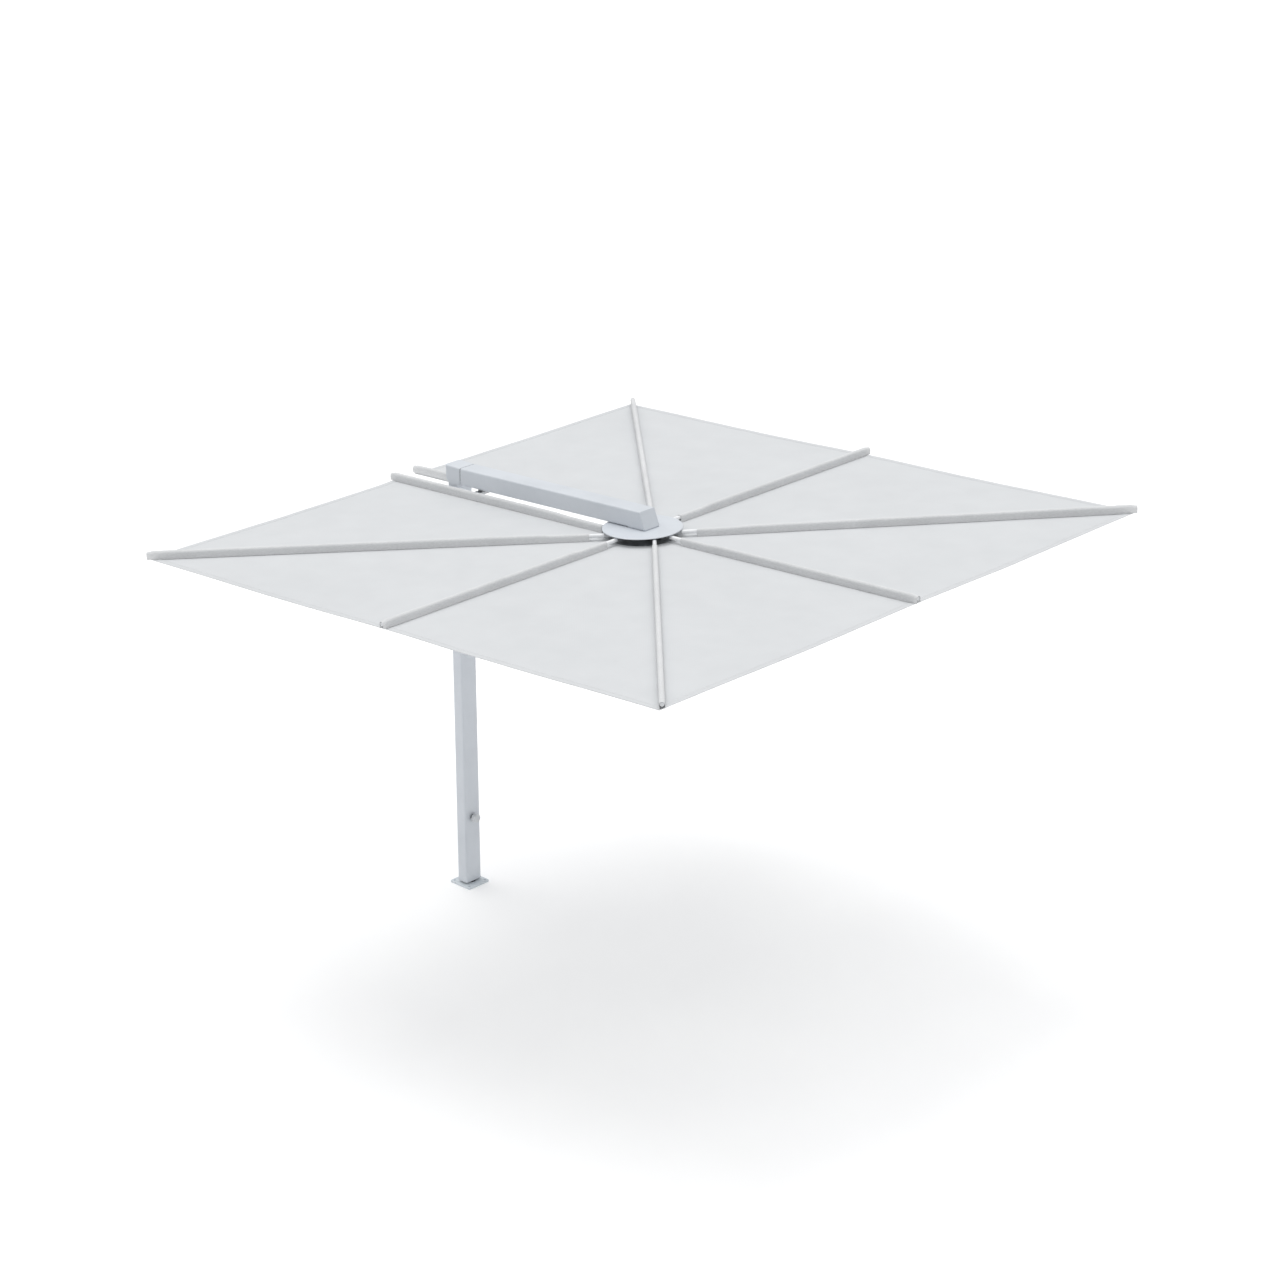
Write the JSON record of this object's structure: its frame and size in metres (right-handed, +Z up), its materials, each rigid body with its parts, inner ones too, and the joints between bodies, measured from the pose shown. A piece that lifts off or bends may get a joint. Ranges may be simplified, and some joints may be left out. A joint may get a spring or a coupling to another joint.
{
  "type": "cantilever parasol",
  "caption": "Square flat canopy on fibreglass ribs that fold like a fan, hung under a side arm on a swivelling mast.",
  "frame": {"origin": "centre of the base plate's four bolt holes, on its underside", "axes": "+Z up along the mast; +X from the mast along the arm to the hub; +Y across the arm"},
  "size_m": [3.0303, 3.0374, 2.1432],
  "materials": {
    "paint": "satin white powder coat on extruded and cast aluminium",
    "base_steel": "powder-coated steel",
    "fastener": "plain stainless",
    "black_plastic": "matte",
    "grey_plastic": "matte",
    "bush": "machined",
    "fibreglass": "smooth resin",
    "cast_aluminium": "cast, blasted",
    "canvas": "woven acrylic"
  },
  "bodies": {
    "base": {"base_plate": "base_steel", "base_post": "base_steel", "thrust_washer": "black_plastic"},
    "mast": {"mast_tube": "paint", "lower_bush": "bush", "upper_bush": "bush", "knob_collar": "black_plastic", "clamp_shoe": "black_plastic", "elbow_block": "paint", "elbow_screws": "fastener", "seam_seal": "black_plastic", "pivot_pin": "fastener"},
    "lock_knob": {"lock_knob": "grey_plastic", "lock_stud": "fastener"},
    "tilt_clamp": {"tilt_handle": "grey_plastic", "tilt_screw": "fastener"},
    "arm": {"arm_tube": "paint", "arm_root": "cast_aluminium", "tilt_quadrant": "fastener", "arm_nose": "paint", "hub_disc": "paint", "hub_plate": "cast_aluminium", "hub_fasteners": "fastener", "rib_catch": "cast_aluminium", "centre_rib_root": "cast_aluminium", "centre_rib_rod": "fibreglass", "centre_rib_cap": "grey_plastic", "centre_rib_panel": "canvas"},
    "front_rib_left": {"front_rib_left_root": "cast_aluminium", "front_rib_left_rod": "fibreglass", "front_rib_left_cap": "grey_plastic", "front_rib_left_panel": "canvas"},
    "side_rib_left": {"side_rib_left_root": "cast_aluminium", "side_rib_left_rod": "fibreglass", "side_rib_left_cap": "grey_plastic", "side_rib_left_panel": "canvas"},
    "rear_rib_left": {"rear_rib_left_root": "cast_aluminium", "rear_rib_left_rod": "fibreglass", "rear_rib_left_cap": "grey_plastic", "rear_rib_left_panel": "canvas"},
    "mast_rib_left": {"mast_rib_left_root": "cast_aluminium", "mast_rib_left_rod": "fibreglass", "mast_rib_left_cap": "grey_plastic", "mast_rib_left_panel": "canvas"},
    "front_rib_right": {"front_rib_right_root": "cast_aluminium", "front_rib_right_rod": "fibreglass", "front_rib_right_cap": "grey_plastic", "front_rib_right_panel": "canvas"},
    "side_rib_right": {"side_rib_right_root": "cast_aluminium", "side_rib_right_rod": "fibreglass", "side_rib_right_cap": "grey_plastic", "side_rib_right_panel": "canvas"},
    "rear_rib_right": {"rear_rib_right_root": "cast_aluminium", "rear_rib_right_rod": "fibreglass", "rear_rib_right_cap": "grey_plastic", "rear_rib_right_panel": "canvas"},
    "mast_rib_right": {"mast_rib_right_root": "cast_aluminium", "mast_rib_right_rod": "fibreglass", "mast_rib_right_cap": "grey_plastic", "mast_rib_right_panel": "canvas"}
  },
  "joints": [
    {"name": "mast_swivel", "type": "hinge", "parent": "base", "child": "mast", "pos_m": [0, 0, 0.018], "axis": [0, 0, 1], "continuous": true},
    {"name": "lock_knob_turn", "type": "hinge", "parent": "mast", "child": "lock_knob", "pos_m": [0.0408, 0, 0.347], "axis": [1, 0, 0], "range_deg": [0, 360]},
    {"name": "arm_tilt", "type": "hinge", "parent": "mast", "child": "arm", "pos_m": [0.049, 0, 2.014], "axis": [0, 1, 0], "range_deg": [0, 30]},
    {"name": "tilt_clamp_turn", "type": "hinge", "parent": "mast", "child": "tilt_clamp", "pos_m": [0.01364, 0.0475, 2.04936], "axis": [0, 1, 0], "range_deg": [0, 90]},
    {"name": "front_rib_left_fold", "type": "hinge", "parent": "arm", "child": "front_rib_left", "pos_m": [1.21997, 0.0202, 2.04648], "axis": [0.0523, 0, -0.9986], "range_deg": [0, 46], "deforming": ["front_rib_left_panel", "centre_rib_panel"]},
    {"name": "side_rib_left_fold", "type": "hinge", "parent": "arm", "child": "side_rib_left", "pos_m": [1.13385, 0.0404, 2.04197], "axis": [0.0523, 0, -0.9986], "range_deg": [0, 90], "deforming": ["side_rib_left_panel"]},
    {"name": "rear_rib_left_fold", "type": "hinge", "parent": "arm", "child": "rear_rib_left", "pos_m": [1.0939, 0.07932, 2.03988], "axis": [0.0523, 0, -0.9986], "range_deg": [0, 136], "deforming": ["rear_rib_left_panel"]},
    {"name": "mast_rib_left_fold", "type": "hinge", "parent": "arm", "child": "mast_rib_left", "pos_m": [1.024, 0.0855, 2.03621], "axis": [0.0523, 0, -0.9986], "range_deg": [0, 180], "deforming": ["mast_rib_left_panel"]},
    {"name": "front_rib_right_fold", "type": "hinge", "parent": "arm", "child": "front_rib_right", "pos_m": [1.21997, -0.0202, 2.04648], "axis": [-0.0523, 0, 0.9986], "range_deg": [0, 46], "deforming": ["front_rib_right_panel", "centre_rib_panel"]},
    {"name": "side_rib_right_fold", "type": "hinge", "parent": "arm", "child": "side_rib_right", "pos_m": [1.13385, -0.0404, 2.04197], "axis": [-0.0523, 0, 0.9986], "range_deg": [0, 90], "deforming": ["side_rib_right_panel"]},
    {"name": "rear_rib_right_fold", "type": "hinge", "parent": "arm", "child": "rear_rib_right", "pos_m": [1.0939, -0.07932, 2.03988], "axis": [-0.0523, 0, 0.9986], "range_deg": [0, 136], "deforming": ["rear_rib_right_panel"]},
    {"name": "mast_rib_right_fold", "type": "hinge", "parent": "arm", "child": "mast_rib_right", "pos_m": [1.024, -0.0855, 2.03621], "axis": [-0.0523, 0, 0.9986], "range_deg": [0, 180], "deforming": ["mast_rib_right_panel"]}
  ],
  "couplings": [
    {"joint": "front_rib_left_fold", "follows": "mast_rib_left_fold", "ratio": 0.25556},
    {"joint": "side_rib_left_fold", "follows": "mast_rib_left_fold", "ratio": 0.5},
    {"joint": "rear_rib_left_fold", "follows": "mast_rib_left_fold", "ratio": 0.75556},
    {"joint": "front_rib_right_fold", "follows": "mast_rib_right_fold", "ratio": 0.25556},
    {"joint": "side_rib_right_fold", "follows": "mast_rib_right_fold", "ratio": 0.5},
    {"joint": "rear_rib_right_fold", "follows": "mast_rib_right_fold", "ratio": 0.75556}
  ]
}
